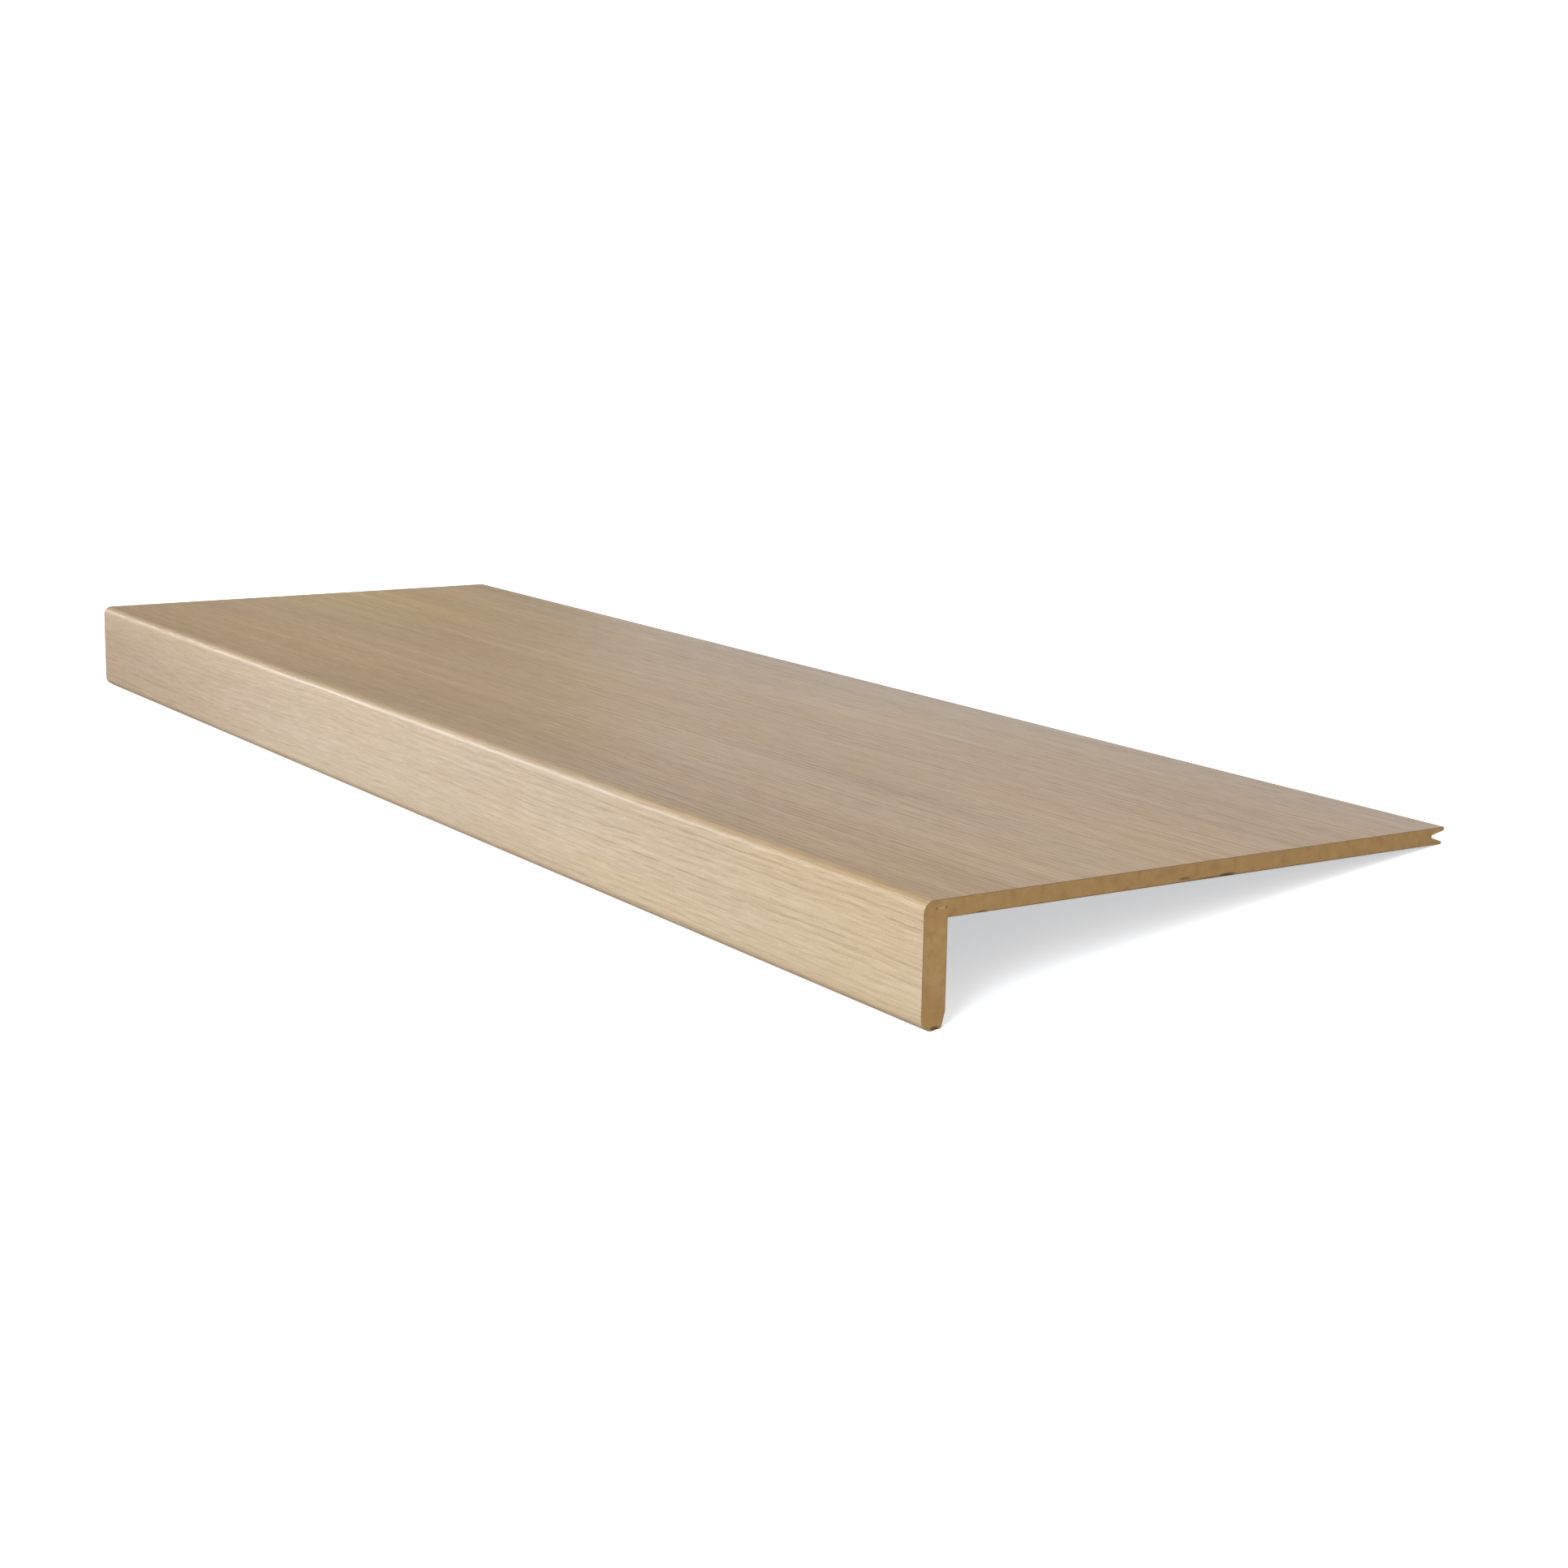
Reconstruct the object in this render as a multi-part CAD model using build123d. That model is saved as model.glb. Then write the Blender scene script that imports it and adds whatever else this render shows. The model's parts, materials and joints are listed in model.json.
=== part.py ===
from build123d import *

import math
import os

# A renovation stair tread: a laminated wood-fibre board that covers an old step, with a thicker
# strip hanging at its front that hides the old nosing. All sizes are in millimetres.
# The section is drawn level, with y = 0 at the front of the nose and z = 0 under the nose strip,
# and the tread is then laid down as it rests unheld: on the nose strip and the back edge.

# Overall sizes
tread_length = 1000.0
tread_depth = 300.0
nose_height = 56.0

# Thicknesses
board_thickness = 7.8
strip_thickness = 11.8
decor_thickness = 0.4

# Nose strip, outer shape
nose_radius = 5.4
lower_front_radius = 5.4
lower_rear_radius = 1.5
relief_height = 7.8
relief_angle = 14.3
decor_return = 1.2
decor_trim_angle = 45.0

# Joint between the board and the nose strip
front_lip_width = 5.8
front_lip_rise = 0.6
dado_depth = 4.7
tongue_rear_setback = 0.4
tongue_front_chamfer_width = 1.2
tongue_front_chamfer_height = 0.7
tongue_rear_chamfer_width = 1.0
tongue_rear_chamfer_height = 0.8

# Groove along the back edge
groove_depth = 8.0
groove_root_radius = 0.8
groove_root_height = 4.15
upper_lip_height = 1.4
lower_lip_height = 1.3
lower_lip_setback = 1.5

# Levels and centres of the level section that follow from the sizes
strip_back = decor_thickness + strip_thickness
board_top = nose_height - decor_thickness
underside = board_top - board_thickness
shoulder = underside + front_lip_rise
dado_front = decor_thickness + front_lip_width
dado_back = strip_back - tongue_rear_setback
dado_top = underside + dado_depth
lower_lip_tip = tread_depth - lower_lip_setback
nose_centre = (nose_radius, nose_height - nose_radius)
lower_front_centre = (lower_front_radius, lower_front_radius)
root_centre = (tread_depth - groove_depth + groove_root_radius, underside + groove_root_height)
relief_slope = math.radians(relief_angle)
lower_rear_z = decor_thickness + lower_rear_radius
lower_rear_centre = (
    strip_back
    - (relief_height - lower_rear_z) * math.tan(relief_slope)
    - lower_rear_radius / math.cos(relief_slope),
    lower_rear_z,
)


def on_circle(centre, radius, angle):
    """Give the point of a circle at an angle in degrees, counted from +y towards +z."""
    turn = math.radians(angle)
    return (centre[0] + radius * math.cos(turn), centre[1] + radius * math.sin(turn))


def arc(centre, radius, start, end):
    """Add the arc of a circle between two angles in degrees."""
    ThreePointArc(
        on_circle(centre, radius, start),
        on_circle(centre, radius, (start + end) / 2),
        on_circle(centre, radius, end),
    )


def touch_angle(centre, radius, point, side):
    """Give the angle at which a line from a point touches a circle, above (1) or below (-1)."""
    run = point[0] - centre[0]
    rise = point[1] - centre[1]
    return math.degrees(math.atan2(rise, run) + side * math.acos(radius / math.hypot(run, rise)))


def closed_outline(*paths):
    """Make a filled section from straight paths and arcs, each a list of points or an arc."""
    with BuildSketch(Plane.YZ) as sketch:
        with BuildLine():
            for path in paths:
                if isinstance(path, list):
                    Polyline(*path)
                else:
                    arc(*path)
        make_face()
    return sketch.sketch


def full_length(outline):
    """Run a section along the tread, half to each side of the middle."""
    return extrude(outline, amount=tread_length / 2, both=True)


def board_outline():
    """Draw the board: rounded nose, dado for the tongue, and the groove in the back edge."""
    inner_radius = nose_radius - decor_thickness
    upper_lip = (tread_depth, board_top - upper_lip_height)
    lower_lip = (lower_lip_tip, underside + lower_lip_height)
    upper_touch = touch_angle(root_centre, groove_root_radius, upper_lip, 1)
    lower_touch = touch_angle(root_centre, groove_root_radius, lower_lip, -1)
    top_and_upper_lip = [
        on_circle(nose_centre, inner_radius, 90),
        (tread_depth, board_top),
        upper_lip,
        on_circle(root_centre, groove_root_radius, upper_touch),
    ]
    lower_lip_to_nose = [
        on_circle(root_centre, groove_root_radius, lower_touch),
        lower_lip,
        (lower_lip_tip, underside),
        (strip_back, underside),
        (dado_back, underside + tongue_rear_setback),
        (dado_back, dado_top),
        (dado_front, dado_top),
        (dado_front, shoulder),
        (decor_thickness, shoulder),
        on_circle(nose_centre, inner_radius, 180),
    ]
    return closed_outline(
        top_and_upper_lip,
        (root_centre, groove_root_radius, upper_touch, lower_touch + 360),
        lower_lip_to_nose,
        (nose_centre, inner_radius, 180, 90),
    )


def strip_outline():
    """Draw the nose strip: a shoulder and a chamfered tongue, relieved at its lower back."""
    inner_radius = lower_front_radius - decor_thickness
    tongue = [
        on_circle(lower_front_centre, inner_radius, 180),
        (decor_thickness, shoulder),
        (dado_front, shoulder),
        (dado_front, dado_top - tongue_front_chamfer_height),
        (dado_front + tongue_front_chamfer_width, dado_top),
        (dado_back - tongue_rear_chamfer_width, dado_top),
        (dado_back, dado_top - tongue_rear_chamfer_height),
        (dado_back, underside + tongue_rear_setback),
        (strip_back, underside),
        (strip_back, relief_height),
        on_circle(lower_rear_centre, lower_rear_radius, -relief_angle),
    ]
    bottom = [
        on_circle(lower_rear_centre, lower_rear_radius, -90),
        on_circle(lower_front_centre, inner_radius, 270),
    ]
    return closed_outline(
        tongue,
        (lower_rear_centre, lower_rear_radius, -relief_angle, -90),
        bottom,
        (lower_front_centre, inner_radius, 270, 180),
    )


def decor_outline():
    """Draw the laminate skin from the back edge, round the nose, to its trimmed lower end."""
    trim = decor_thickness / math.tan(math.radians(decor_trim_angle))
    outer_end = lower_front_radius + decor_return
    top = [
        on_circle(nose_centre, nose_radius - decor_thickness, 90),
        (tread_depth, board_top),
        (tread_depth, nose_height),
        on_circle(nose_centre, nose_radius, 90),
    ]
    front_outside = [
        on_circle(nose_centre, nose_radius, 180),
        on_circle(lower_front_centre, lower_front_radius, 180),
    ]
    trimmed_end = [
        on_circle(lower_front_centre, lower_front_radius, 270),
        (outer_end, 0),
        (outer_end + trim, decor_thickness),
        on_circle(lower_front_centre, lower_front_radius - decor_thickness, 270),
    ]
    front_inside = [
        on_circle(lower_front_centre, lower_front_radius - decor_thickness, 180),
        on_circle(nose_centre, nose_radius - decor_thickness, 180),
    ]
    return closed_outline(
        top,
        (nose_centre, nose_radius, 90, 180),
        front_outside,
        (lower_front_centre, lower_front_radius, 180, 270),
        trimmed_end,
        (lower_front_centre, lower_front_radius - decor_thickness, 270, 180),
        front_inside,
        (nose_centre, nose_radius - decor_thickness, 180, 90),
    )


def rest_tilt():
    """Give the angle in radians by which the level tread leans back until its back edge lands."""
    run = lower_lip_tip - lower_rear_centre[0]
    rise = underside - lower_rear_centre[1]
    return math.atan2(rise, run) + math.asin(lower_rear_radius / math.hypot(run, rise))


def laid_down(shape):
    """Lean the level shape back and put the middle of the resting tread's base at the origin."""
    tilt = rest_tilt()
    cosine = math.cos(tilt)
    sine = math.sin(tilt)
    front = lower_front_radius * (cosine + sine - 1)
    back = tread_depth * cosine + nose_height * sine
    rear_y, rear_z = lower_rear_centre
    floor = rear_z * cosine - rear_y * sine - lower_rear_radius
    leaning = shape.rotate(Axis.X, -math.degrees(tilt))
    return leaning.translate((0, -(front + back) / 2, -floor))


def main():
    """Build the three pieces and write one file for each."""
    os.makedirs("parts", exist_ok=True)
    outlines = {
        "tread_board": board_outline(),
        "nose_strip": strip_outline(),
        "decor_laminate": decor_outline(),
    }
    for name, outline in outlines.items():
        export_step(laid_down(full_length(outline)), f"parts/{name}.step")


if __name__ == "__main__":
    main()
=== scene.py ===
"""Looks of a renovation stair tread: oak decor over wood-fibre board, on a pale studio floor.

The tread lies unheld, so its board leans back. The sizes below are those of its level section:
x runs along the tread, y from the front of the nose to the back edge, z up from under the nose.
All sizes are in metres unless a name says otherwise.
"""

from __future__ import annotations

import json
import logging
import math
from dataclasses import dataclass, field
from enum import Enum

import bpy
from mathutils import Matrix, Vector


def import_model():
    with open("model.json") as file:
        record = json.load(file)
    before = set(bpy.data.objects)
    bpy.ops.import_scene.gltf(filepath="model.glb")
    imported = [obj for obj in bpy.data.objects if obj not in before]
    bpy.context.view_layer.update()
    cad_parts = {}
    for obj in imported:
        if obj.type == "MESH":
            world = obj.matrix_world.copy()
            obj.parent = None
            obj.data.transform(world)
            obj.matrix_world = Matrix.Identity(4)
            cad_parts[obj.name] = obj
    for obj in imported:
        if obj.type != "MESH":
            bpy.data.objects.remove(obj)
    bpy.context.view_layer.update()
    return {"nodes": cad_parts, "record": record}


LOG = logging.getLogger("stair_tread")
PHOTO_SIDE_PX = 1932
MM = 0.001

Colour = tuple[float, float, float]
Socket = bpy.types.NodeSocket


def linear(red: int, green: int, blue: int) -> Colour:
    """Turn a display colour of 0 to 255 into the linear colour that shaders use.

    Args:
        red: Red, 0 to 255.
        green: Green, 0 to 255.
        blue: Blue, 0 to 255.

    Returns:
        The linear red, green and blue, 0 to 1.
    """

    def channel(value: int) -> float:
        """Undo the display curve of one channel."""
        share = value / 255
        return share / 12.92 if share <= 0.04045 else ((share + 0.055) / 1.055) ** 2.4

    return (channel(red), channel(green), channel(blue))


def direction(bearing: float, elevation: float) -> Vector:
    """Give the level direction towards a point around the tread.

    Args:
        bearing: Degrees from straight in front of the tread towards its +X end.
        elevation: Degrees above the level tread.

    Returns:
        The direction, one long.
    """
    turn = math.radians(bearing)
    lift = math.radians(elevation)
    flat = math.cos(lift)
    return Vector((math.sin(turn) * flat, -math.cos(turn) * flat, math.sin(lift)))


@dataclass(frozen=True)
class LevelFrame:
    """Places the tread's level section in the frame, where the tread leans back.

    Attributes:
        tilt: How far the board leans back, in radians.
        anchor: A point of the walking face, in the frame.
        anchor_level: The same point in the level section.
    """

    tilt: float
    anchor: Vector
    anchor_level: Vector

    @classmethod
    def from_record(cls, record: dict, depth: float, height: float) -> LevelFrame:
        """Read the lean from the walking face that the record states.

        Args:
            record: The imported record.
            depth: Depth of the tread.
            height: Level height of the walking face.

        Returns:
            The level frame.
        """
        face = next(m for m in record["mounts"] if m["name"] == "walking_face")
        normal = face["axis"]
        tilt = math.atan2(normal[1], normal[2])
        return cls(tilt, Vector(face["pos_m"]), Vector((0.0, depth / 2, height)))

    def turn(self) -> Matrix:
        """Give the rotation from level directions to the frame."""
        return Matrix.Rotation(-self.tilt, 3, "X")

    def point(self, along: float, depth: float, height: float) -> Vector:
        """Place a level point in the frame.

        Args:
            along: Level x.
            depth: Level y.
            height: Level z.

        Returns:
            The point in the frame.
        """
        return self.anchor + self.turn() @ (Vector((along, depth, height)) - self.anchor_level)

    def origin(self) -> Vector:
        """Give the level section's origin in the frame."""
        return self.point(0.0, 0.0, 0.0)


class Graph:
    """Adds nodes to a material's or a group's tree and links them in one line each."""

    def __init__(self, tree: bpy.types.NodeTree) -> None:
        """Work on one node tree.

        Args:
            tree: The tree of a material or a group.
        """
        self.tree = tree

    def node(self, kind: str, **settings: object) -> bpy.types.Node:
        """Add a node.

        Args:
            kind: Blender's name of the node type.
            settings: Properties to set on it.

        Returns:
            The new node.
        """
        made = self.tree.nodes.new(kind)
        for name, value in settings.items():
            setattr(made, name, value)
        return made

    def feed(self, target: Socket, value: object) -> None:
        """Link a socket, or set its own value.

        Args:
            target: The input socket.
            value: An output socket, a number, or a colour or vector of numbers.
        """
        if isinstance(value, bpy.types.NodeSocket):
            self.tree.links.new(value, target)
        elif target.type == "RGBA" and len(value) == 3:
            target.default_value = (*value, 1.0)
        else:
            target.default_value = value

    def math(self, operation: str, *values: object, clamp: bool = False) -> Socket:
        """Work out a number.

        Args:
            operation: Name of the Math operation.
            values: Its inputs.
            clamp: Whether the result is kept within 0 and 1.

        Returns:
            The result.
        """
        made = self.node("ShaderNodeMath", operation=operation, use_clamp=clamp)
        for place, value in enumerate(values):
            self.feed(made.inputs[place], value)
        return made.outputs[0]

    def span(
        self, value: object, low: object, high: object, start: object = 0.0, end: object = 1.0
    ) -> Socket:
        """Map a number smoothly from one range to another, and keep it there.

        Args:
            value: The number.
            low: Where the result is start.
            high: Where the result is end.
            start: Result at low.
            end: Result at high.

        Returns:
            The mapped number.
        """
        made = self.node("ShaderNodeMapRange", interpolation_type="SMOOTHSTEP", clamp=True)
        for place, number in enumerate((value, low, high, start, end)):
            self.feed(made.inputs[place], number)
        return made.outputs[0]

    def mix(self, share: object, first: object, second: object, blend: str = "MIX") -> Socket:
        """Blend two colours.

        Args:
            share: How much of the second colour is used.
            first: The first colour.
            second: The second colour.
            blend: Name of the way to blend.

        Returns:
            The blended colour.
        """
        made = self.node("ShaderNodeMix", data_type="RGBA", blend_type=blend, clamp_factor=True)
        self.feed(made.inputs[0], share)
        self.feed(made.inputs[6], first)
        self.feed(made.inputs[7], second)
        return made.outputs[2]

    def between(self, share: Socket, start: float, end: float) -> Socket:
        """Give the number that lies at a share of the way from start to end."""
        return self.math("MULTIPLY_ADD", share, end - start, start)

    def veil(self, colour: object, other: object, mask: Socket, share: object) -> Socket:
        """Lay another colour over a colour where a mask shows, up to a share."""
        return self.mix(self.math("MULTIPLY", mask, share), colour, other)

    def touch(
        self, colour: object, other: object, value: Socket, low: float, high: float, share: object
    ) -> Socket:
        """Bring another colour in, up to a share, as a value goes from low to high."""
        return self.mix(self.span(value, low, high, 0.0, share), colour, other)

    def vector(self, x: object, y: object, z: object = 0.0) -> Socket:
        """Join three numbers to a vector.

        Args:
            x: First number.
            y: Second number.
            z: Third number.

        Returns:
            The vector.
        """
        made = self.node("ShaderNodeCombineXYZ")
        for place, value in enumerate((x, y, z)):
            self.feed(made.inputs[place], value)
        return made.outputs[0]

    def noise(self, place: Socket, detail: float = 2.0, roughness: float = 0.5) -> Socket:
        """Add cloud noise with one cell per unit of its place.

        Args:
            place: Where the noise is read.
            detail: How many finer layers it has.
            roughness: Strength of the finer layers.

        Returns:
            Noise around one half.
        """
        made = self.node("ShaderNodeTexNoise")
        self.feed(made.inputs["Vector"], place)
        self.feed(made.inputs["Scale"], 1.0)
        self.feed(made.inputs["Detail"], detail)
        self.feed(made.inputs["Roughness"], roughness)
        return made.outputs["Fac"]

    def group(self, tree: bpy.types.NodeTree, **values: object) -> bpy.types.Node:
        """Place a shared group with its own values.

        Args:
            tree: The group.
            values: Its inputs by name, with underscores for spaces.

        Returns:
            The group's node.
        """
        made = self.node("ShaderNodeGroup", node_tree=tree)
        for name, value in values.items():
            self.feed(made.inputs[name.replace("_", " ")], value)
        return made


class SharedEffect:
    """A shader node group that more than one material places with its own values."""

    def __init__(self, name: str, inputs: dict[str, str], outputs: dict[str, str]) -> None:
        """Make an empty group with named sockets.

        Args:
            name: Name of the group.
            inputs: Kind of each input socket by its name.
            outputs: Kind of each output socket by its name.
        """
        self.tree = bpy.data.node_groups.new(name, "ShaderNodeTree")
        for direction, sockets in (("INPUT", inputs), ("OUTPUT", outputs)):
            for title, kind in sockets.items():
                self.tree.interface.new_socket(
                    title, in_out=direction, socket_type=f"NodeSocket{kind}"
                )
        self.graph = Graph(self.tree)
        self.given = self.graph.node("NodeGroupInput").outputs
        self.result = self.graph.node("NodeGroupOutput").inputs

    def give(self, name: str, value: Socket) -> None:
        """Send a value out of the group."""
        self.graph.feed(self.result[name], value)


class Effects:
    """The shared groups: level places, grain, pores, speckle, face directions and patches."""

    def __init__(self, level: LevelFrame) -> None:
        """Build every group once.

        Args:
            level: Where the level section lies.
        """
        self.places = self.build_places(level)
        self.grain = self.build_grain()
        self.pores = self.build_pores()
        self.speckle = self.build_speckle()
        self.facing = self.build_facing(level)
        self.patch = self.build_patch()

    def build_places(self, level: LevelFrame) -> bpy.types.NodeTree:
        """Give each point's level place, and its place on the decor as if that lay flat.

        Args:
            level: Where the level section lies.

        Returns:
            The group.
        """
        effect = SharedEffect(
            "level_places",
            {"Nose Height": "Float"},
            {"Along": "Float", "Depth": "Float", "Height": "Float", "Across": "Float"},
        )
        graph = effect.graph
        shifted = graph.node("ShaderNodeVectorMath", operation="SUBTRACT")
        graph.feed(shifted.inputs[0], graph.node("ShaderNodeTexCoord").outputs["Object"])
        graph.feed(shifted.inputs[1], level.origin())
        turned = graph.node("ShaderNodeVectorRotate", rotation_type="X_AXIS")
        graph.feed(turned.inputs["Vector"], shifted.outputs[0])
        graph.feed(turned.inputs["Angle"], level.tilt)
        parts = graph.node("ShaderNodeSeparateXYZ")
        graph.feed(parts.inputs[0], turned.outputs[0])
        along, depth, height = parts.outputs
        effect.give("Along", along)
        effect.give("Depth", depth)
        effect.give("Height", height)
        unrolled = graph.math("ADD", depth, height)
        effect.give("Across", graph.math("SUBTRACT", unrolled, effect.given["Nose Height"]))
        return effect.tree

    def build_grain(self) -> bpy.types.NodeTree:
        """Give long streaks that follow the tread and wander a little.

        Returns:
            The group.
        """
        effect = SharedEffect(
            "long_grain",
            {
                "Along": "Float",
                "Across": "Float",
                "Length": "Float",
                "Spacing": "Float",
                "Wander": "Float",
                "Wave": "Float",
                "Seed": "Float",
                "Sharpness": "Float",
            },
            {"Streaks": "Float", "Across": "Float"},
        )
        graph, given = effect.graph, effect.given
        across = given["Across"]
        bends = ((0.42, 0.075, given["Wander"]), (0.085, 0.022, given["Wave"]))
        for length, width, reach in bends:
            place = graph.vector(
                graph.math("DIVIDE", given["Along"], length),
                graph.math("DIVIDE", given["Across"], width),
                given["Seed"],
            )
            sway = graph.math("SUBTRACT", graph.noise(place, detail=1.0), 0.5)
            across = graph.math("ADD", across, graph.math("MULTIPLY", sway, reach))
        place = graph.vector(
            graph.math("DIVIDE", given["Along"], given["Length"]),
            graph.math("DIVIDE", across, given["Spacing"]),
            given["Seed"],
        )
        streaks = graph.noise(place, detail=3.0, roughness=0.55)
        centred = graph.math("SUBTRACT", streaks, 0.5)
        sharpened = graph.math("MULTIPLY_ADD", centred, given["Sharpness"], 0.5, clamp=True)
        effect.give("Streaks", sharpened)
        effect.give("Across", across)
        return effect.tree

    def build_pores(self) -> bpy.types.NodeTree:
        """Give thin broken lines side by side, as the rows of vessels in rift-sawn oak.

        Returns:
            The group.
        """
        effect = SharedEffect(
            "pore_rows",
            {
                "Along": "Float",
                "Across": "Float",
                "Row Pitch": "Float",
                "Unevenness": "Float",
                "Dash Length": "Float",
                "Thickness": "Float",
                "Coverage": "Float",
                "Seed": "Float",
            },
            {"Dashes": "Float", "Rows": "Float"},
        )
        graph, given = effect.graph, effect.given
        rank = graph.math("DIVIDE", given["Across"], given["Row Pitch"])

        def sway(length: object, per_row: float, detail: float, roughness: float = 0.5) -> Socket:
            """Give noise around 0 with cells of a length along and so many per row across."""
            place = graph.vector(
                graph.math("DIVIDE", given["Along"], length),
                graph.math("MULTIPLY", rank, per_row),
                given["Seed"],
            )
            return graph.math("SUBTRACT", graph.noise(place, detail, roughness), 0.5)

        bend = sway(length=200 * MM, per_row=0.22, detail=2.0)
        wobble = sway(length=30 * MM, per_row=0.9, detail=1.0)
        fray_length = graph.math("MULTIPLY", given["Dash Length"], 0.30)
        fray = sway(length=fray_length, per_row=5.0, detail=2.0, roughness=0.6)
        bent = graph.math("MULTIPLY_ADD", bend, given["Unevenness"], rank)
        phase = graph.math("MULTIPLY_ADD", wobble, 0.38, bent)
        away = graph.math("PINGPONG", phase, 0.5)
        reach = graph.math("MULTIPLY_ADD", fray, 0.36, away)
        outside = graph.math("MULTIPLY", given["Thickness"], 1.6)
        inside = graph.math("MULTIPLY", given["Thickness"], 0.3)
        line = graph.span(reach, outside, inside)
        break_place = graph.vector(
            graph.math("DIVIDE", given["Along"], given["Dash Length"]),
            rank,
            graph.math("ADD", given["Seed"], 3.7),
        )
        present = graph.noise(break_place, detail=1.0)
        gate = graph.math("SUBTRACT", 1.0, given["Coverage"])
        shut = graph.math("SUBTRACT", gate, 0.07)
        opened = graph.math("ADD", gate, 0.12)
        kept = graph.span(present, shut, opened)
        effect.give("Dashes", graph.math("MULTIPLY", line, kept))
        effect.give("Rows", graph.span(away, 0.5, 0.0))
        return effect.tree

    def build_speckle(self) -> bpy.types.NodeTree:
        """Give the mottling of pressed wood fibre: soft clouds, flecks and a few dark specks.

        Returns:
            The group.
        """
        effect = SharedEffect(
            "fibre_speckle",
            {"Fleck Size": "Float", "Cloud Size": "Float", "Seed": "Float"},
            {"Flecks": "Float", "Clouds": "Float", "Specks": "Float"},
        )
        graph, given = effect.graph, effect.given
        spot = graph.node("ShaderNodeTexCoord").outputs["Object"]

        def scaled(size: object, shift: float) -> Socket:
            """Give the place counted in cells of a size, moved by the seed."""
            cells = graph.node("ShaderNodeVectorMath", operation="SCALE")
            graph.feed(cells.inputs[0], spot)
            graph.feed(cells.inputs["Scale"], graph.math("DIVIDE", 1.0, size))
            moved = graph.node("ShaderNodeVectorMath", operation="ADD")
            graph.feed(moved.inputs[0], cells.outputs[0])
            graph.feed(moved.inputs[1], graph.vector(given["Seed"], shift, given["Seed"]))
            return moved.outputs[0]

        flecks = graph.noise(scaled(given["Fleck Size"], 0.0), detail=3.0, roughness=0.7)
        effect.give("Flecks", flecks)
        clouds = graph.noise(scaled(given["Cloud Size"], 3.1))
        effect.give("Clouds", clouds)
        specks = graph.noise(scaled(given["Fleck Size"], 7.7), detail=0.0)
        effect.give("Specks", graph.span(specks, 0.72, 0.80))
        return effect.tree

    def build_facing(self, level: LevelFrame) -> bpy.types.NodeTree:
        """Tell sawn ends, undersides and fronts apart by the way a face looks.

        Args:
            level: Where the level section lies.

        Returns:
            The group.
        """
        effect = SharedEffect(
            "face_directions",
            {"Softness": "Float"},
            {"End": "Float", "Down": "Float", "Front": "Float"},
        )
        graph = effect.graph
        turned = graph.node("ShaderNodeVectorRotate", rotation_type="X_AXIS")
        normal = graph.node("ShaderNodeNewGeometry").outputs["True Normal"]
        graph.feed(turned.inputs["Vector"], normal)
        graph.feed(turned.inputs["Angle"], level.tilt)
        parts = graph.node("ShaderNodeSeparateXYZ")
        graph.feed(parts.inputs[0], turned.outputs[0])
        sideways, forward, upward = parts.outputs
        low = graph.math("SUBTRACT", 0.5, effect.given["Softness"])
        high = graph.math("ADD", 0.5, effect.given["Softness"])
        effect.give("End", graph.span(graph.math("ABSOLUTE", sideways), low, high))
        effect.give("Down", graph.span(graph.math("MULTIPLY", upward, -1.0), low, high))
        effect.give("Front", graph.span(graph.math("MULTIPLY", forward, -1.0), low, high))
        return effect.tree

    def build_patch(self) -> bpy.types.NodeTree:
        """Give a ragged oval patch around one place, for marks and for zones of tone.

        Returns:
            The group.
        """
        effect = SharedEffect(
            "soft_patch",
            {
                "First": "Float",
                "Second": "Float",
                "First Centre": "Float",
                "Second Centre": "Float",
                "First Half": "Float",
                "Second Half": "Float",
                "Tooth": "Float",
                "Ragged": "Float",
                "Inner Edge": "Float",
            },
            {"Patch": "Float"},
        )
        graph, given = effect.graph, effect.given
        offsets = []
        teeth = []
        for axis in ("First", "Second"):
            away = graph.math("SUBTRACT", given[axis], given[f"{axis} Centre"])
            offsets.append(graph.math("DIVIDE", away, given[f"{axis} Half"]))
            teeth.append(graph.math("DIVIDE", given[axis], given["Tooth"]))
        reach = graph.node("ShaderNodeVectorMath", operation="LENGTH")
        graph.feed(reach.inputs[0], graph.vector(*offsets))
        edge = graph.math("SUBTRACT", graph.noise(graph.vector(*teeth)), 0.5)
        edge = graph.math("MULTIPLY", edge, given["Ragged"])
        away = graph.math("ADD", reach.outputs["Value"], edge)
        effect.give("Patch", graph.span(away, 1.15, given["Inner Edge"]))
        return effect.tree


@dataclass(frozen=True)
class GrainLayer:
    """One layer of long streaks.

    Attributes:
        length: Length of a streak.
        spacing: Distance between two streaks.
        seed: Where in the noise the layer starts.
        sharpness: How strongly the streaks stand out.
        wander: How far they stray over the tread's length.
        wave: How far they stray within a hand's width.
    """

    length: float
    spacing: float
    seed: float
    sharpness: float
    wander: float = 0.0
    wave: float = 0.0

    def place(
        self, graph: Graph, effects: Effects, along: Socket, across: Socket
    ) -> bpy.types.NodeOutputs:
        """Place the layer in a material.

        Args:
            graph: The material's graph.
            effects: The shared groups.
            along: The place along the tread.
            across: The place across it.

        Returns:
            Its streaks, and the place across it as they bend.
        """
        return graph.group(
            effects.grain,
            Along=along,
            Across=across,
            Length=self.length,
            Spacing=self.spacing,
            Wander=self.wander,
            Wave=self.wave,
            Seed=self.seed,
            Sharpness=self.sharpness,
        ).outputs


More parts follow.
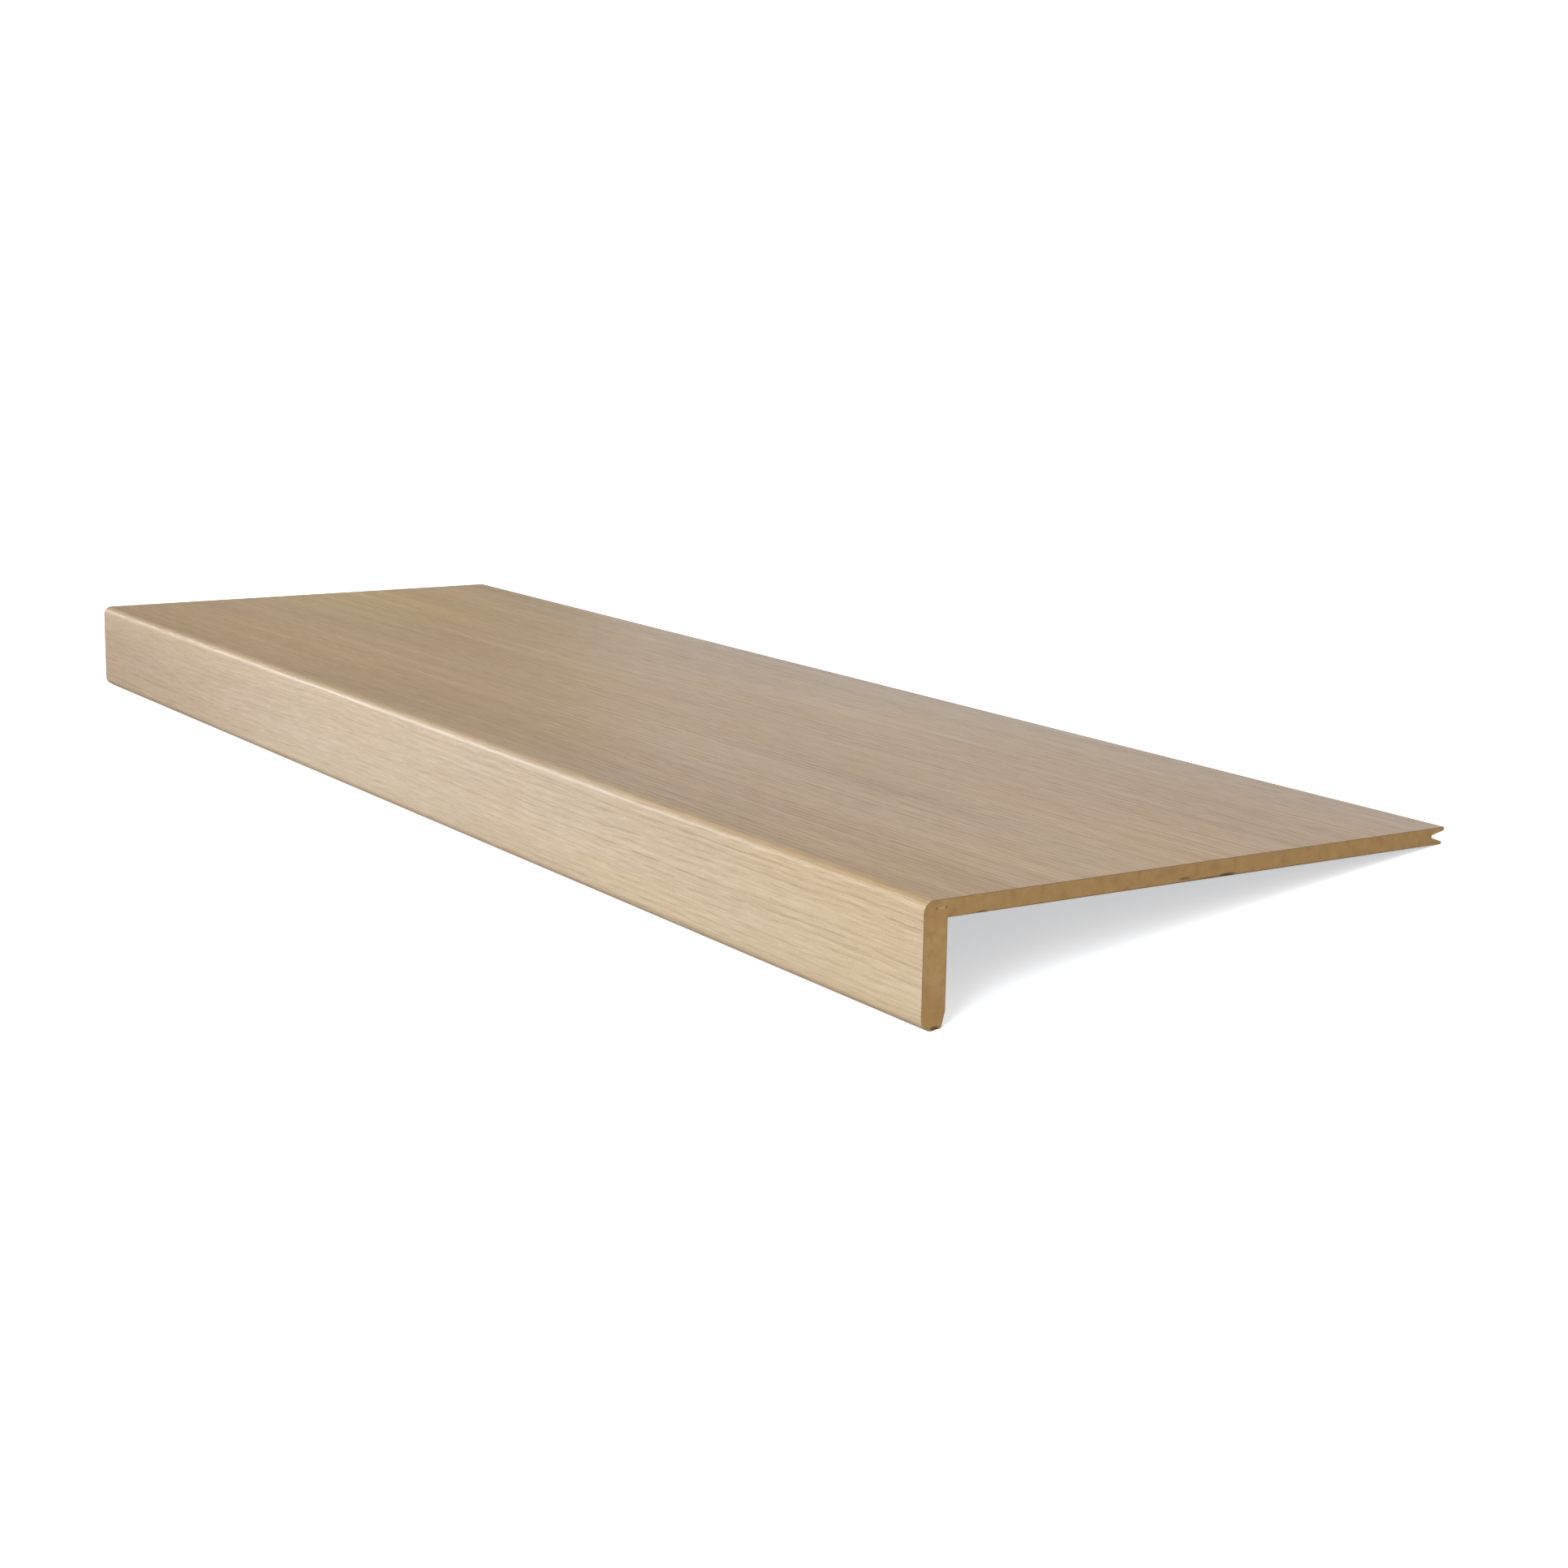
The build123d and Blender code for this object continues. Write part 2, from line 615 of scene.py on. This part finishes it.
@dataclass(frozen=True)
class PoreLayer:
    """One layer of pores in rows.

    Attributes:
        row_pitch: Distance between two rows.
        unevenness: How far the rows leave even distances, in rows.
        dash_length: Length of an unbroken dash.
        thickness: Thickness of a dash, in rows.
        coverage: Share of the rows that has dashes.
        seed: Where in the noise the layer starts.
    """

    row_pitch: float
    unevenness: float
    dash_length: float
    thickness: float
    coverage: float
    seed: float

    def place(
        self, graph: Graph, effects: Effects, along: Socket, across: Socket
    ) -> bpy.types.NodeOutputs:
        """Place the layer in a material.

        Args:
            graph: The material's graph.
            effects: The shared groups.
            along: The place along the tread.
            across: The place across it.

        Returns:
            Its dashes, and the soft rows that they lie in.
        """
        return graph.group(
            effects.pores,
            Along=along,
            Across=across,
            Row_Pitch=self.row_pitch,
            Unevenness=self.unevenness,
            Dash_Length=self.dash_length,
            Thickness=self.thickness,
            Coverage=self.coverage,
            Seed=self.seed,
        ).outputs


@dataclass(frozen=True)
class Patch:
    """An oval patch of another tone, by its place in two level directions.

    On a sawn end the two are depth and height. On the decor they are along and across.

    Attributes:
        first: Its centre in the first direction.
        second: Its centre in the second direction.
        first_half: Half its size in the first direction.
        second_half: Half its size in the second direction.
        colour: Its colour, or its tint of the print.
        strength: How much of that shows.
        tooth: Size of the teeth of its edge.
        ragged: How ragged its edge is.
        inner_edge: Share of its size within which it is full.
    """

    first: float
    second: float
    first_half: float
    second_half: float
    colour: Colour
    strength: float = 1.0
    tooth: float = 0.7 * MM
    ragged: float = 1.2
    inner_edge: float = 0.7

    def mask(self, graph: Graph, effects: Effects, first: Socket, second: Socket) -> Socket:
        """Give how much of the patch shows at each point.

        Args:
            graph: The material's graph.
            effects: The shared groups.
            first: The place in the first direction.
            second: The place in the second direction.

        Returns:
            The mask.
        """
        made = graph.group(
            effects.patch,
            First=first,
            Second=second,
            First_Centre=self.first,
            Second_Centre=self.second,
            First_Half=self.first_half,
            Second_Half=self.second_half,
            Tooth=self.tooth,
            Ragged=self.ragged,
            Inner_Edge=self.inner_edge,
        )
        return graph.math("MULTIPLY", made.outputs["Patch"], self.strength)


def tone_zone(
    first: float, second: float, first_half: float, second_half: float, tint: Colour
) -> Patch:
    """Give a wide patch with a soft edge that tints the print.

    Args:
        first: Its centre along the tread.
        second: Its centre across the decor.
        first_half: Half its length.
        second_half: Half its width.
        tint: What the print's colour is multiplied by.

    Returns:
        The patch.
    """
    edge = {"tooth": 60 * MM, "ragged": 0.25, "inner_edge": 0.0}
    return Patch(first, second, first_half, second_half, tint, **edge)


@dataclass(frozen=True)
class Finish:
    """What every finish of the tread shares.

    Attributes:
        name: Name of the material.
        roughness: Roughness of its smooth parts.
        specular: Specular level, the same all over.
    """

    name: str
    roughness: float
    specular: float

    def start(self) -> tuple[bpy.types.Material, Graph, bpy.types.Node]:
        """Make the material with its surface shader.

        Returns:
            The material, its graph and its Principled BSDF.
        """
        material = bpy.data.materials.new(self.name)
        material.use_nodes = True
        shader = material.node_tree.nodes["Principled BSDF"]
        shader.inputs["Roughness"].default_value = self.roughness
        shader.inputs["Specular IOR Level"].default_value = self.specular
        return material, Graph(material.node_tree), shader

    def relief(
        self, graph: Graph, shader: bpy.types.Node, height: Socket, depth: float, strength: float
    ) -> None:
        """Let a height map tilt the surface's normal.

        Args:
            graph: The material's graph.
            shader: Its Principled BSDF.
            height: Height, 0 to 1.
            depth: Real depth of the relief.
            strength: Share of the relief that shows.
        """
        bump = graph.node("ShaderNodeBump")
        graph.feed(bump.inputs["Height"], height)
        graph.feed(bump.inputs["Distance"], depth)
        graph.feed(bump.inputs["Strength"], strength)
        graph.feed(shader.inputs["Normal"], bump.outputs["Normal"])


@dataclass(frozen=True)
class OakDecor(Finish):
    """Printed oak under a satin wear layer, with pressed pores and a brown kraft edge.

    Attributes:
        light: Colour of the pale wood between the rows.
        dark: Colour of the darker streaks.
        pore: Colour of the pores.
        grey: Colour of the cooler zones.
        warm: Colour of the warmer zones.
        under_nose_shade: Colour of painted shade on the print where it turns under the nose,
            facing down away from the light.
        kraft: Colour of the sawn edge of the laminate.
        pale: Colour of the palest flecks.
        near_nose: Tint of the print on top, towards the nose.
        nose_height: Level height of the walking face.
        zones: Wide tinted zones, some of print tone and some of painted shade.
        flow: The broad flow of the wood.
        streaks: Its streaks.
        lines: Its fine lines.
        flecks: Short flecks within the lines.
        pores: The pores that show.
        fine_pores: The fainter pores between them.
    """

    light: Colour
    dark: Colour
    pore: Colour
    grey: Colour
    warm: Colour
    under_nose_shade: Colour
    kraft: Colour
    pale: Colour
    near_nose: Colour
    nose_height: float
    zones: tuple[Patch, ...]
    flow: GrainLayer = GrainLayer(
        length=300 * MM,
        spacing=14 * MM,
        seed=1.7,
        sharpness=2.5,
        wander=12 * MM,
        wave=1.6 * MM,
    )
    streaks: GrainLayer = GrainLayer(length=240 * MM, spacing=4.5 * MM, seed=6.4, sharpness=2.4)
    lines: GrainLayer = GrainLayer(length=140 * MM, spacing=1.6 * MM, seed=4.2, sharpness=3.0)
    flecks: GrainLayer = GrainLayer(length=20 * MM, spacing=0.9 * MM, seed=7.9, sharpness=3.0)
    pores: PoreLayer = PoreLayer(
        row_pitch=3.8 * MM,
        unevenness=2.2,
        dash_length=24 * MM,
        thickness=0.11,
        coverage=0.58,
        seed=2.4,
    )
    fine_pores: PoreLayer = PoreLayer(
        row_pitch=1.9 * MM,
        unevenness=4.5,
        dash_length=24 * MM,
        thickness=0.15,
        coverage=0.52,
        seed=9.6,
    )

    def printed_wood(
        self, graph: Graph, effects: Effects, along: Socket, across: Socket, speckle: Socket
    ) -> tuple[Socket, Socket, Socket]:
        """Lay the layers of the print over each other, from the wood's broad flow to its pores.

        The broad layers show more on top, and the pores more on the front.

        Args:
            graph: The material's graph.
            effects: The shared groups.
            along: The place along the tread.
            across: The place across the decor.
            speckle: The fine grit of the print.

        Returns:
            The colour of the print, its fine lines and its pores.
        """
        flow = self.flow.place(graph, effects, along, across)
        bent = flow["Across"]
        streaks = self.streaks.place(graph, effects, along, bent)["Streaks"]
        lines = self.lines.place(graph, effects, along, bent)["Streaks"]
        flecks = self.flecks.place(graph, effects, along, bent)["Streaks"]
        pores = self.pores.place(graph, effects, along, bent)
        fine_pores = self.fine_pores.place(graph, effects, along, bent)
        drift_length, drift_width, drift_seed = 500 * MM, 55 * MM, 8.8
        drift_place = graph.vector(
            graph.math("DIVIDE", along, drift_length),
            graph.math("DIVIDE", bent, drift_width),
            drift_seed,
        )
        drift = graph.noise(drift_place, roughness=0.45)
        front = graph.span(across, 6 * MM, -2 * MM)
        flow_share = graph.between(front, 0.69, 0.24)
        streak_share = graph.between(front, 0.60, 0.22)
        line_share = graph.between(front, 0.52, 0.30)
        colour = graph.veil(self.light, self.dark, flow["Streaks"], flow_share)
        colour = graph.touch(colour, self.grey, drift, low=0.52, high=0.74, share=0.6)
        colour = graph.touch(colour, self.warm, drift, low=0.48, high=0.26, share=0.6)
        colour = graph.veil(colour, self.dark, streaks, streak_share)
        colour = graph.veil(colour, self.dark, lines, line_share)
        colour = graph.veil(colour, self.dark, pores["Rows"], share=0.04)
        colour = graph.touch(colour, self.pale, flecks, low=0.55, high=0.95, share=0.22)
        colour = graph.touch(colour, self.pore, flecks, low=0.45, high=0.05, share=0.12)
        colour = graph.touch(colour, self.pale, speckle, low=0.52, high=0.78, share=0.38)
        colour = graph.touch(colour, self.dark, speckle, low=0.48, high=0.22, share=0.55)
        fine_share = graph.math("MULTIPLY", streaks, 0.20)
        colour = graph.veil(colour, self.pore, fine_pores["Dashes"], fine_share)
        dash_share = graph.between(streaks, 0.07, 0.39)
        dash_share = graph.math("MULTIPLY", dash_share, graph.between(front, 0.20, 0.92))
        to_near_end = graph.span(along, 0.05, 0.42, 0.60, 1.0)
        dash_share = graph.math("MULTIPLY", dash_share, to_near_end)
        colour = graph.veil(colour, self.pore, pores["Dashes"], dash_share)
        return colour, lines, pores["Dashes"]

    def material(self, effects: Effects) -> bpy.types.Material:
        """Build the material.

        Args:
            effects: The shared groups.

        Returns:
            The material.
        """
        material, graph, shader = self.start()
        places = graph.group(effects.places, Nose_Height=self.nose_height).outputs
        along, across = places["Along"], places["Across"]
        facing = graph.group(effects.facing, Softness=0.1).outputs
        bend = graph.group(effects.facing, Softness=0.5).outputs
        grit = graph.group(effects.speckle, Fleck_Size=0.8 * MM, Cloud_Size=9 * MM, Seed=3.0)
        speckle = grit.outputs["Flecks"]
        colour, lines, dashes = self.printed_wood(graph, effects, along, across, speckle)
        # Some zones are print tones; the one along the bottom of the front is painted shade, and
        # the one at the far nose is partly painted shade.
        for zone in self.zones:
            share = zone.mask(graph, effects, along, across)
            colour = graph.mix(share, colour, zone.colour, blend="MULTIPLY")
        near_nose = graph.span(places["Depth"], 120 * MM, 15 * MM)
        near_nose = graph.math("MULTIPLY", near_nose, graph.span(bend["Front"], 0.85, 0.35))
        colour = graph.mix(near_nose, colour, self.near_nose, blend="MULTIPLY")
        # Painted shade on the lower rounding of the nose, which faces down, away from the light.
        colour = graph.veil(colour, self.under_nose_shade, bend["Down"], share=0.8)
        kraft = graph.touch(self.kraft, self.dark, speckle, low=0.3, high=0.7, share=0.4)
        graph.feed(shader.inputs["Base Color"], graph.mix(facing["End"], colour, kraft))
        sheen = graph.math("MULTIPLY_ADD", dashes, 0.2, self.roughness)
        sheen = graph.math("MULTIPLY_ADD", lines, 0.06, sheen)
        sheen = graph.math("MULTIPLY_ADD", facing["End"], 0.4, sheen, clamp=True)
        graph.feed(shader.inputs["Roughness"], sheen)
        pressed = graph.math("SUBTRACT", 1.0, dashes)
        height = graph.math("MULTIPLY_ADD", lines, 0.25, pressed)
        self.relief(graph, shader, height, depth=0.03 * MM, strength=0.35)
        return material


@dataclass(frozen=True)
class PressedFibre(Finish):
    """Bare wood fibre: sanded underneath, sawn and mottled at the ends.

    Attributes:
        face: Colour of the sanded faces.
        sawn: Colour of the sawn ends.
        pale: Colour of the pale flecks.
        dark: Colour of the dark flecks.
        seed: Where in the noise its mottling starts.
        nose_height: Level height of the walking face.
        marks: Patches on the sawn end that the camera sees.
    """

    face: Colour
    sawn: Colour
    pale: Colour
    dark: Colour
    seed: float
    nose_height: float
    marks: tuple[Patch, ...] = ()

    def material(self, effects: Effects) -> bpy.types.Material:
        """Build the material.

        Args:
            effects: The shared groups.

        Returns:
            The material.
        """
        material, graph, shader = self.start()
        places = graph.group(effects.places, Nose_Height=self.nose_height).outputs
        facing = graph.group(effects.facing, Softness=0.1).outputs
        speckle = graph.group(
            effects.speckle, Fleck_Size=0.38 * MM, Cloud_Size=5 * MM, Seed=self.seed
        ).outputs
        clouds, flecks = speckle["Clouds"], speckle["Flecks"]
        sanding = GrainLayer(length=90 * MM, spacing=0.8 * MM, seed=self.seed, sharpness=1.6)
        scratches = sanding.place(graph, effects, places["Along"], places["Across"])["Streaks"]
        bare = graph.touch(self.face, self.pale, scratches, low=0.3, high=0.9, share=0.35)
        colour = graph.mix(facing["End"], bare, self.sawn)
        cloudy = graph.between(facing["End"], 0.12, 0.28)
        colour = graph.touch(colour, self.pale, clouds, low=0.50, high=0.72, share=cloudy)
        colour = graph.touch(colour, self.dark, clouds, low=0.50, high=0.30, share=cloudy)
        flecked = graph.between(facing["End"], 0.25, 0.90)
        colour = graph.touch(colour, self.pale, flecks, low=0.55, high=0.75, share=flecked)
        colour = graph.touch(colour, self.dark, flecks, low=0.45, high=0.25, share=flecked)
        colour = graph.veil(colour, self.dark, speckle["Specks"], share=0.5)
        seen_end = graph.math("MULTIPLY", facing["End"], graph.span(places["Along"], 0.0, 0.01))
        # Marks on the sawn end, some of them painted shade along its edges.
        for mark in self.marks:
            patch = mark.mask(graph, effects, places["Depth"], places["Height"])
            colour = graph.veil(colour, mark.colour, patch, seen_end)
        graph.feed(shader.inputs["Base Color"], colour)
        dullness = graph.math("MULTIPLY_ADD", flecks, 0.15, self.roughness)
        graph.feed(shader.inputs["Roughness"], dullness)
        height = graph.math("MULTIPLY_ADD", scratches, 0.2, flecks)
        self.relief(graph, shader, height, depth=0.15 * MM, strength=0.6)
        return material


@dataclass
class StairTread:
    """The tread: its three pieces and what dresses them.

    Attributes:
        nodes: The built pieces by name.
        effects: The shared groups.
        depth: Depth of the tread.
        nose_height: Level height of the walking face.
        underside: Level height of the board's underside.
        tongue_top: Level height of the top of the tongue.
        arris_shade: Colour of the painted shade along edges of the sawn ends.
    """

    nodes: dict[str, bpy.types.Object]
    effects: Effects
    depth: float = 0.300
    nose_height: float = 0.056
    underside: float = 0.0478
    tongue_top: float = 0.0525
    arris_shade: Colour = linear(104, 80, 50)

    def board_marks(self) -> tuple[Patch, ...]:
        """Give the painted shade along the lower edge of the board's sawn end, and dark spots
        along that edge.
        """
        # Colour of the dark spots along the lower edge of the board's sawn end.
        dark_spot = linear(62, 50, 34)
        return (
            # Painted shade along the lower edge of the board's sawn end.
            Patch(0.155, self.underside + 0.1 * MM, 0.150, 0.45 * MM, self.arris_shade, 0.7),
            Patch(0.0300, self.underside + 0.4 * MM, 3.0 * MM, 0.45 * MM, dark_spot, 0.6),
            Patch(0.1405, self.underside + 1.6 * MM, 3.2 * MM, 0.7 * MM, dark_spot, 0.5),
            Patch(0.1550, self.underside + 0.5 * MM, 6.5 * MM, 0.5 * MM, dark_spot, 0.4),
            Patch(0.1650, self.underside + 0.7 * MM, 5.0 * MM, 0.65 * MM, dark_spot, 0.85),
        )

    def strip_marks(self) -> tuple[Patch, ...]:
        """Give the glue line on the tongue, painted shade along the inner edge and the torn lower
        end.
        """
        glue = linear(190, 160, 116)
        torn = linear(58, 49, 36)
        redder = linear(150, 112, 66)
        joint = self.tongue_top - 0.3 * MM
        inner = 12.2 * MM
        return (
            Patch(9.1 * MM, joint, 1.9 * MM, 0.35 * MM, glue, 0.5, ragged=0.4),
            Patch(6.0 * MM, 9.0 * MM, 12 * MM, 10 * MM, redder, 0.5, inner_edge=0.2),
            Patch(6.0 * MM, 48.5 * MM, 12 * MM, 5 * MM, redder, 0.4, inner_edge=0.2),
            # Painted shade along the inner edge of the strip's sawn end.
            Patch(inner, 28 * MM, 0.35 * MM, 21 * MM, self.arris_shade, 0.6),
            Patch(6.9 * MM, 0.7 * MM, 2.4 * MM, 1.2 * MM, torn, 0.8),
        )

    def print_and_shade_zones(self) -> tuple[Patch, ...]:
        """Give the tint zones: print tones such as a yellower top, painted shade along the bottom
        of the front, and a far nose that is rosier in print and darker from painted shade where
        the light falls off.
        """
        return (
            tone_zone(0.0, 0.155, 3.0, 0.19, (1.07, 0.944, 0.718)),
            # Painted shade along the bottom of the front, towards the floor.
            tone_zone(0.0, -0.056, 3.0, 0.020, (0.94, 0.93, 0.86)),
            tone_zone(-0.40, 0.26, 0.32, 0.13, (1.03, 0.985, 0.84)),
            tone_zone(-0.46, 0.17, 0.22, 0.10, (1.07, 1.12, 1.10)),
            tone_zone(-0.28, 0.055, 0.30, 0.07, (1.09, 1.07, 1.035)),
            # Far end of the nose: rosier print, and painted shade where the light falls off.
            tone_zone(-0.52, -0.035, 0.38, 0.06, (0.78, 0.72, 0.68)),
            tone_zone(0.52, -0.03, 0.45, 0.08, (0.97, 0.95, 0.87)),
            tone_zone(0.44, 0.02, 0.30, 0.07, (0.975, 0.94, 0.89)),
            tone_zone(0.30, 0.12, 0.20, 0.016, (0.92, 0.92, 0.94)),
            tone_zone(0.46, 0.26, 0.28, 0.14, (0.95, 0.91, 0.90)),
        )

    def dress(self) -> None:
        """Give each piece its finish."""
        decor = OakDecor(
            "oak_decor",
            roughness=0.36,
            specular=0.35,
            light=linear(185, 166, 144),
            dark=linear(156, 134, 111),
            pore=linear(110, 88, 52),
            grey=linear(173, 157, 140),
            warm=linear(184, 160, 127),
            under_nose_shade=linear(142, 112, 80),
            kraft=linear(126, 97, 62),
            pale=linear(205, 189, 168),
            near_nose=(0.955, 0.885, 0.755),
            nose_height=self.nose_height,
            zones=self.print_and_shade_zones(),
        )
        board = PressedFibre(
            "pressed_fibre_board",
            roughness=0.78,
            specular=0.25,
            face=linear(150, 122, 88),
            sawn=linear(152, 118, 73),
            pale=linear(168, 134, 90),
            dark=linear(118, 87, 52),
            seed=2.0,
            nose_height=self.nose_height,
            marks=self.board_marks(),
        )
        strip = PressedFibre(
            "pressed_fibre_strip",
            roughness=0.78,
            specular=0.25,
            face=linear(150, 124, 88),
            sawn=linear(157, 124, 77),
            pale=linear(170, 138, 92),
            dark=linear(120, 92, 55),
            seed=6.0,
            nose_height=self.nose_height,
            marks=self.strip_marks(),
        )
        finishes = {"decor_laminate": decor, "tread_board": board, "nose_strip": strip}
        for name, finish in finishes.items():
            self.nodes[name].data.materials.clear()
            self.nodes[name].data.materials.append(finish.material(self.effects))
            LOG.info("dressed %s in %s", name, finish.name)


class LampKind(Enum):
    """How a lamp of the studio throws its light."""

    BROAD = "SUN"
    PANEL = "AREA"


@dataclass(frozen=True)
class Lamp:
    """A soft studio lamp, placed by its direction from the middle of the tread in the level frame.

    Attributes:
        name: Name of the lamp.
        kind: How it throws its light.
        bearing: Degrees from straight in front of the tread towards its +X end.
        elevation: Degrees above the level tread.
        strength: Watts of a panel, or the irradiance of a broad lamp.
        distance: How far away it stands.
        width: Width of a panel.
        height: Height of a panel.
        softness: Degrees that a broad lamp spans.
        colour: Its colour.
    """

    name: str
    kind: LampKind
    bearing: float
    elevation: float
    strength: float
    distance: float = 3.0
    width: float = 1.0
    height: float = 1.0
    softness: float = 40.0
    colour: Colour = (1.0, 1.0, 1.0)

    def build(self, level: LevelFrame) -> None:
        """Set up the lamp.

        Args:
            level: Where the level section lies.
        """
        data = bpy.data.lights.new(self.name, self.kind.value)
        data.energy = self.strength
        data.color = self.colour
        if self.kind is LampKind.PANEL:
            data.shape = "RECTANGLE"
            data.size = self.width
            data.size_y = self.height
        else:
            data.angle = math.radians(self.softness)
        away = level.turn() @ direction(self.bearing, self.elevation)
        lamp = bpy.data.objects.new(self.name, data)
        lamp.visible_glossy = self.kind is LampKind.PANEL
        lamp.location = away * self.distance
        lamp.rotation_euler = (-away).to_track_quat("-Z", "Y").to_euler()
        bpy.context.scene.collection.objects.link(lamp)


@dataclass
class Studio:
    """The pale floor, the soft lights and the camera.

    Attributes:
        level: Where the level section lies.
        floor_side: Side of the square floor.
        focal_px: Focal length in the photograph's pixels.
        camera_place: The camera's place in the level frame.
        azimuth: The camera's bearing, in degrees.
        elevation: Degrees that the camera looks down, in the level frame.
        roll: Degrees that the picture is turned clockwise.
        sensor_mm: Width of the camera's sensor.
        room_light: Strength of the even light of the room.
        room_colour: Colour of that light.
        room_reflection: How bright the dim room is in reflections.
        shadow_light: How bright the floor's shadow stays, as on a light table.
        shadow_colour: Colour of that light.
        lamps: The lamps.
    """

    level: LevelFrame
    floor_side: float = 600.0
    focal_px: float = 3332.3
    camera_place: tuple[float, float, float] = (1.3701, -0.6355, 0.3208)
    azimuth: float = 56.953
    elevation: float = 11.388
    roll: float = 0.948
    sensor_mm: float = 36.0
    room_light: float = 0.66
    room_colour: Colour = (1.0, 0.99, 0.97)
    room_reflection: float = 0.30
    shadow_light: float = 0.57
    shadow_colour: Colour = (0.92, 0.96, 1.0)
    lamps: list[Lamp] = field(default_factory=list)

    def build_floor(self) -> None:
        """Lay the pale floor under the tread."""
        half = self.floor_side / 2
        mesh = bpy.data.meshes.new("studio_floor")
        corners = [(-half, -half, 0.0), (half, -half, 0.0), (half, half, 0.0), (-half, half, 0.0)]
        mesh.from_pydata(corners, [], [(0, 1, 2, 3)])
        floor = bpy.data.objects.new("studio_floor", mesh)
        bpy.context.scene.collection.objects.link(floor)
        paint = bpy.data.materials.new("studio_paint")
        paint.use_nodes = True
        shader = paint.node_tree.nodes["Principled BSDF"]
        shader.inputs["Base Color"].default_value = (0.95, 0.95, 0.95, 1.0)
        shader.inputs["Roughness"].default_value = 0.9
        shader.inputs["Specular IOR Level"].default_value = 0.1
        shader.inputs["Emission Color"].default_value = (*self.shadow_colour, 1.0)
        graph = Graph(paint.node_tree)
        seen = graph.node("ShaderNodeLightPath").outputs["Is Camera Ray"]
        glow = graph.math("MULTIPLY", seen, self.shadow_light)
        graph.feed(shader.inputs["Emission Strength"], glow)
        mesh.materials.append(paint)
        floor.visible_glossy = False

    def build_lights(self) -> None:
        """Set up the lamps and the even light of the room."""
        for lamp in self.lamps:
            lamp.build(self.level)
        world = bpy.data.worlds.new("studio_room")
        world.use_nodes = True
        graph = Graph(world.node_tree)
        rays = graph.node("ShaderNodeLightPath").outputs
        room = world.node_tree.nodes["Background"]
        graph.feed(room.inputs["Strength"], self.room_light)
        graph.feed(room.inputs["Color"], self.room_colour)
        shown = room.outputs[0]
        for ray, strength in (("Is Glossy Ray", self.room_reflection), ("Is Camera Ray", 1.0)):
            part = graph.node("ShaderNodeBackground")
            graph.feed(part.inputs["Color"], (1.0, 1.0, 1.0))
            graph.feed(part.inputs["Strength"], strength)
            chooser = graph.node("ShaderNodeMixShader")
            for place, value in enumerate((rays[ray], shown, part.outputs[0])):
                graph.feed(chooser.inputs[place], value)
            shown = chooser.outputs[0]
        graph.feed(world.node_tree.nodes["World Output"].inputs["Surface"], shown)
        bpy.context.scene.world = world

    def build_camera(self) -> None:
        """Set up the camera where the photograph was taken from."""
        data = bpy.data.cameras.new("photo_camera")
        data.sensor_width = self.sensor_mm
        data.lens = self.focal_px * self.sensor_mm / PHOTO_SIDE_PX
        data.clip_start = 0.05
        data.clip_end = 100.0
        ahead = -direction(self.azimuth, self.elevation)
        upright = ahead.to_track_quat("-Z", "Y").to_matrix()
        rolled = upright @ Matrix.Rotation(math.radians(self.roll), 3, "Z")
        camera = bpy.data.objects.new("photo_camera", data)
        camera.matrix_world = Matrix.LocRotScale(
            self.level.point(*self.camera_place),
            (self.level.turn() @ rolled).to_quaternion(),
            None,
        )
        bpy.context.scene.collection.objects.link(camera)
        bpy.context.scene.camera = camera

    def build(self) -> None:
        """Set up the whole studio."""
        self.build_floor()
        self.build_lights()
        self.build_camera()
        bpy.context.scene.view_settings.view_transform = "Standard"
        LOG.info("studio: %d lamps, camera and floor", len(self.lamps))


def studio_lamps() -> list[Lamp]:
    """Give the lamps: a broad low key in front, and a long low panel past the far end."""
    return [
        Lamp(
            "key_lamp",
            LampKind.BROAD,
            bearing=14.0,
            elevation=29.0,
            strength=2.25,
            softness=50.0,
            colour=(0.91, 1.0, 1.12),
        ),
        Lamp(
            "front_panel",
            LampKind.PANEL,
            bearing=35.0,
            elevation=26.0,
            strength=5.0,
            distance=1.7,
            width=0.8,
            height=0.6,
            colour=(0.93, 1.0, 1.07),
        ),
        Lamp(
            "nose_panel",
            LampKind.PANEL,
            bearing=-62.0,
            elevation=17.0,
            strength=17.0,
            distance=3.0,
            width=1.0,
            height=0.30,
        ),
        Lamp(
            "back_window",
            LampKind.PANEL,
            bearing=-136.0,
            elevation=12.0,
            strength=3.8,
            distance=3.0,
            width=1.9,
            height=0.9,
            colour=(0.85, 0.97, 1.15),
        ),
    ]


def main() -> None:
    """Build the scene."""
    logging.basicConfig(level=logging.INFO)
    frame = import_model()
    depth = StairTread.depth
    nose_height = StairTread.nose_height
    level = LevelFrame.from_record(frame["record"], depth, nose_height)
    tread = StairTread(frame["nodes"], Effects(level))
    tread.dress()
    Studio(level, lamps=studio_lamps()).build()


if __name__ == "__main__":
    main()
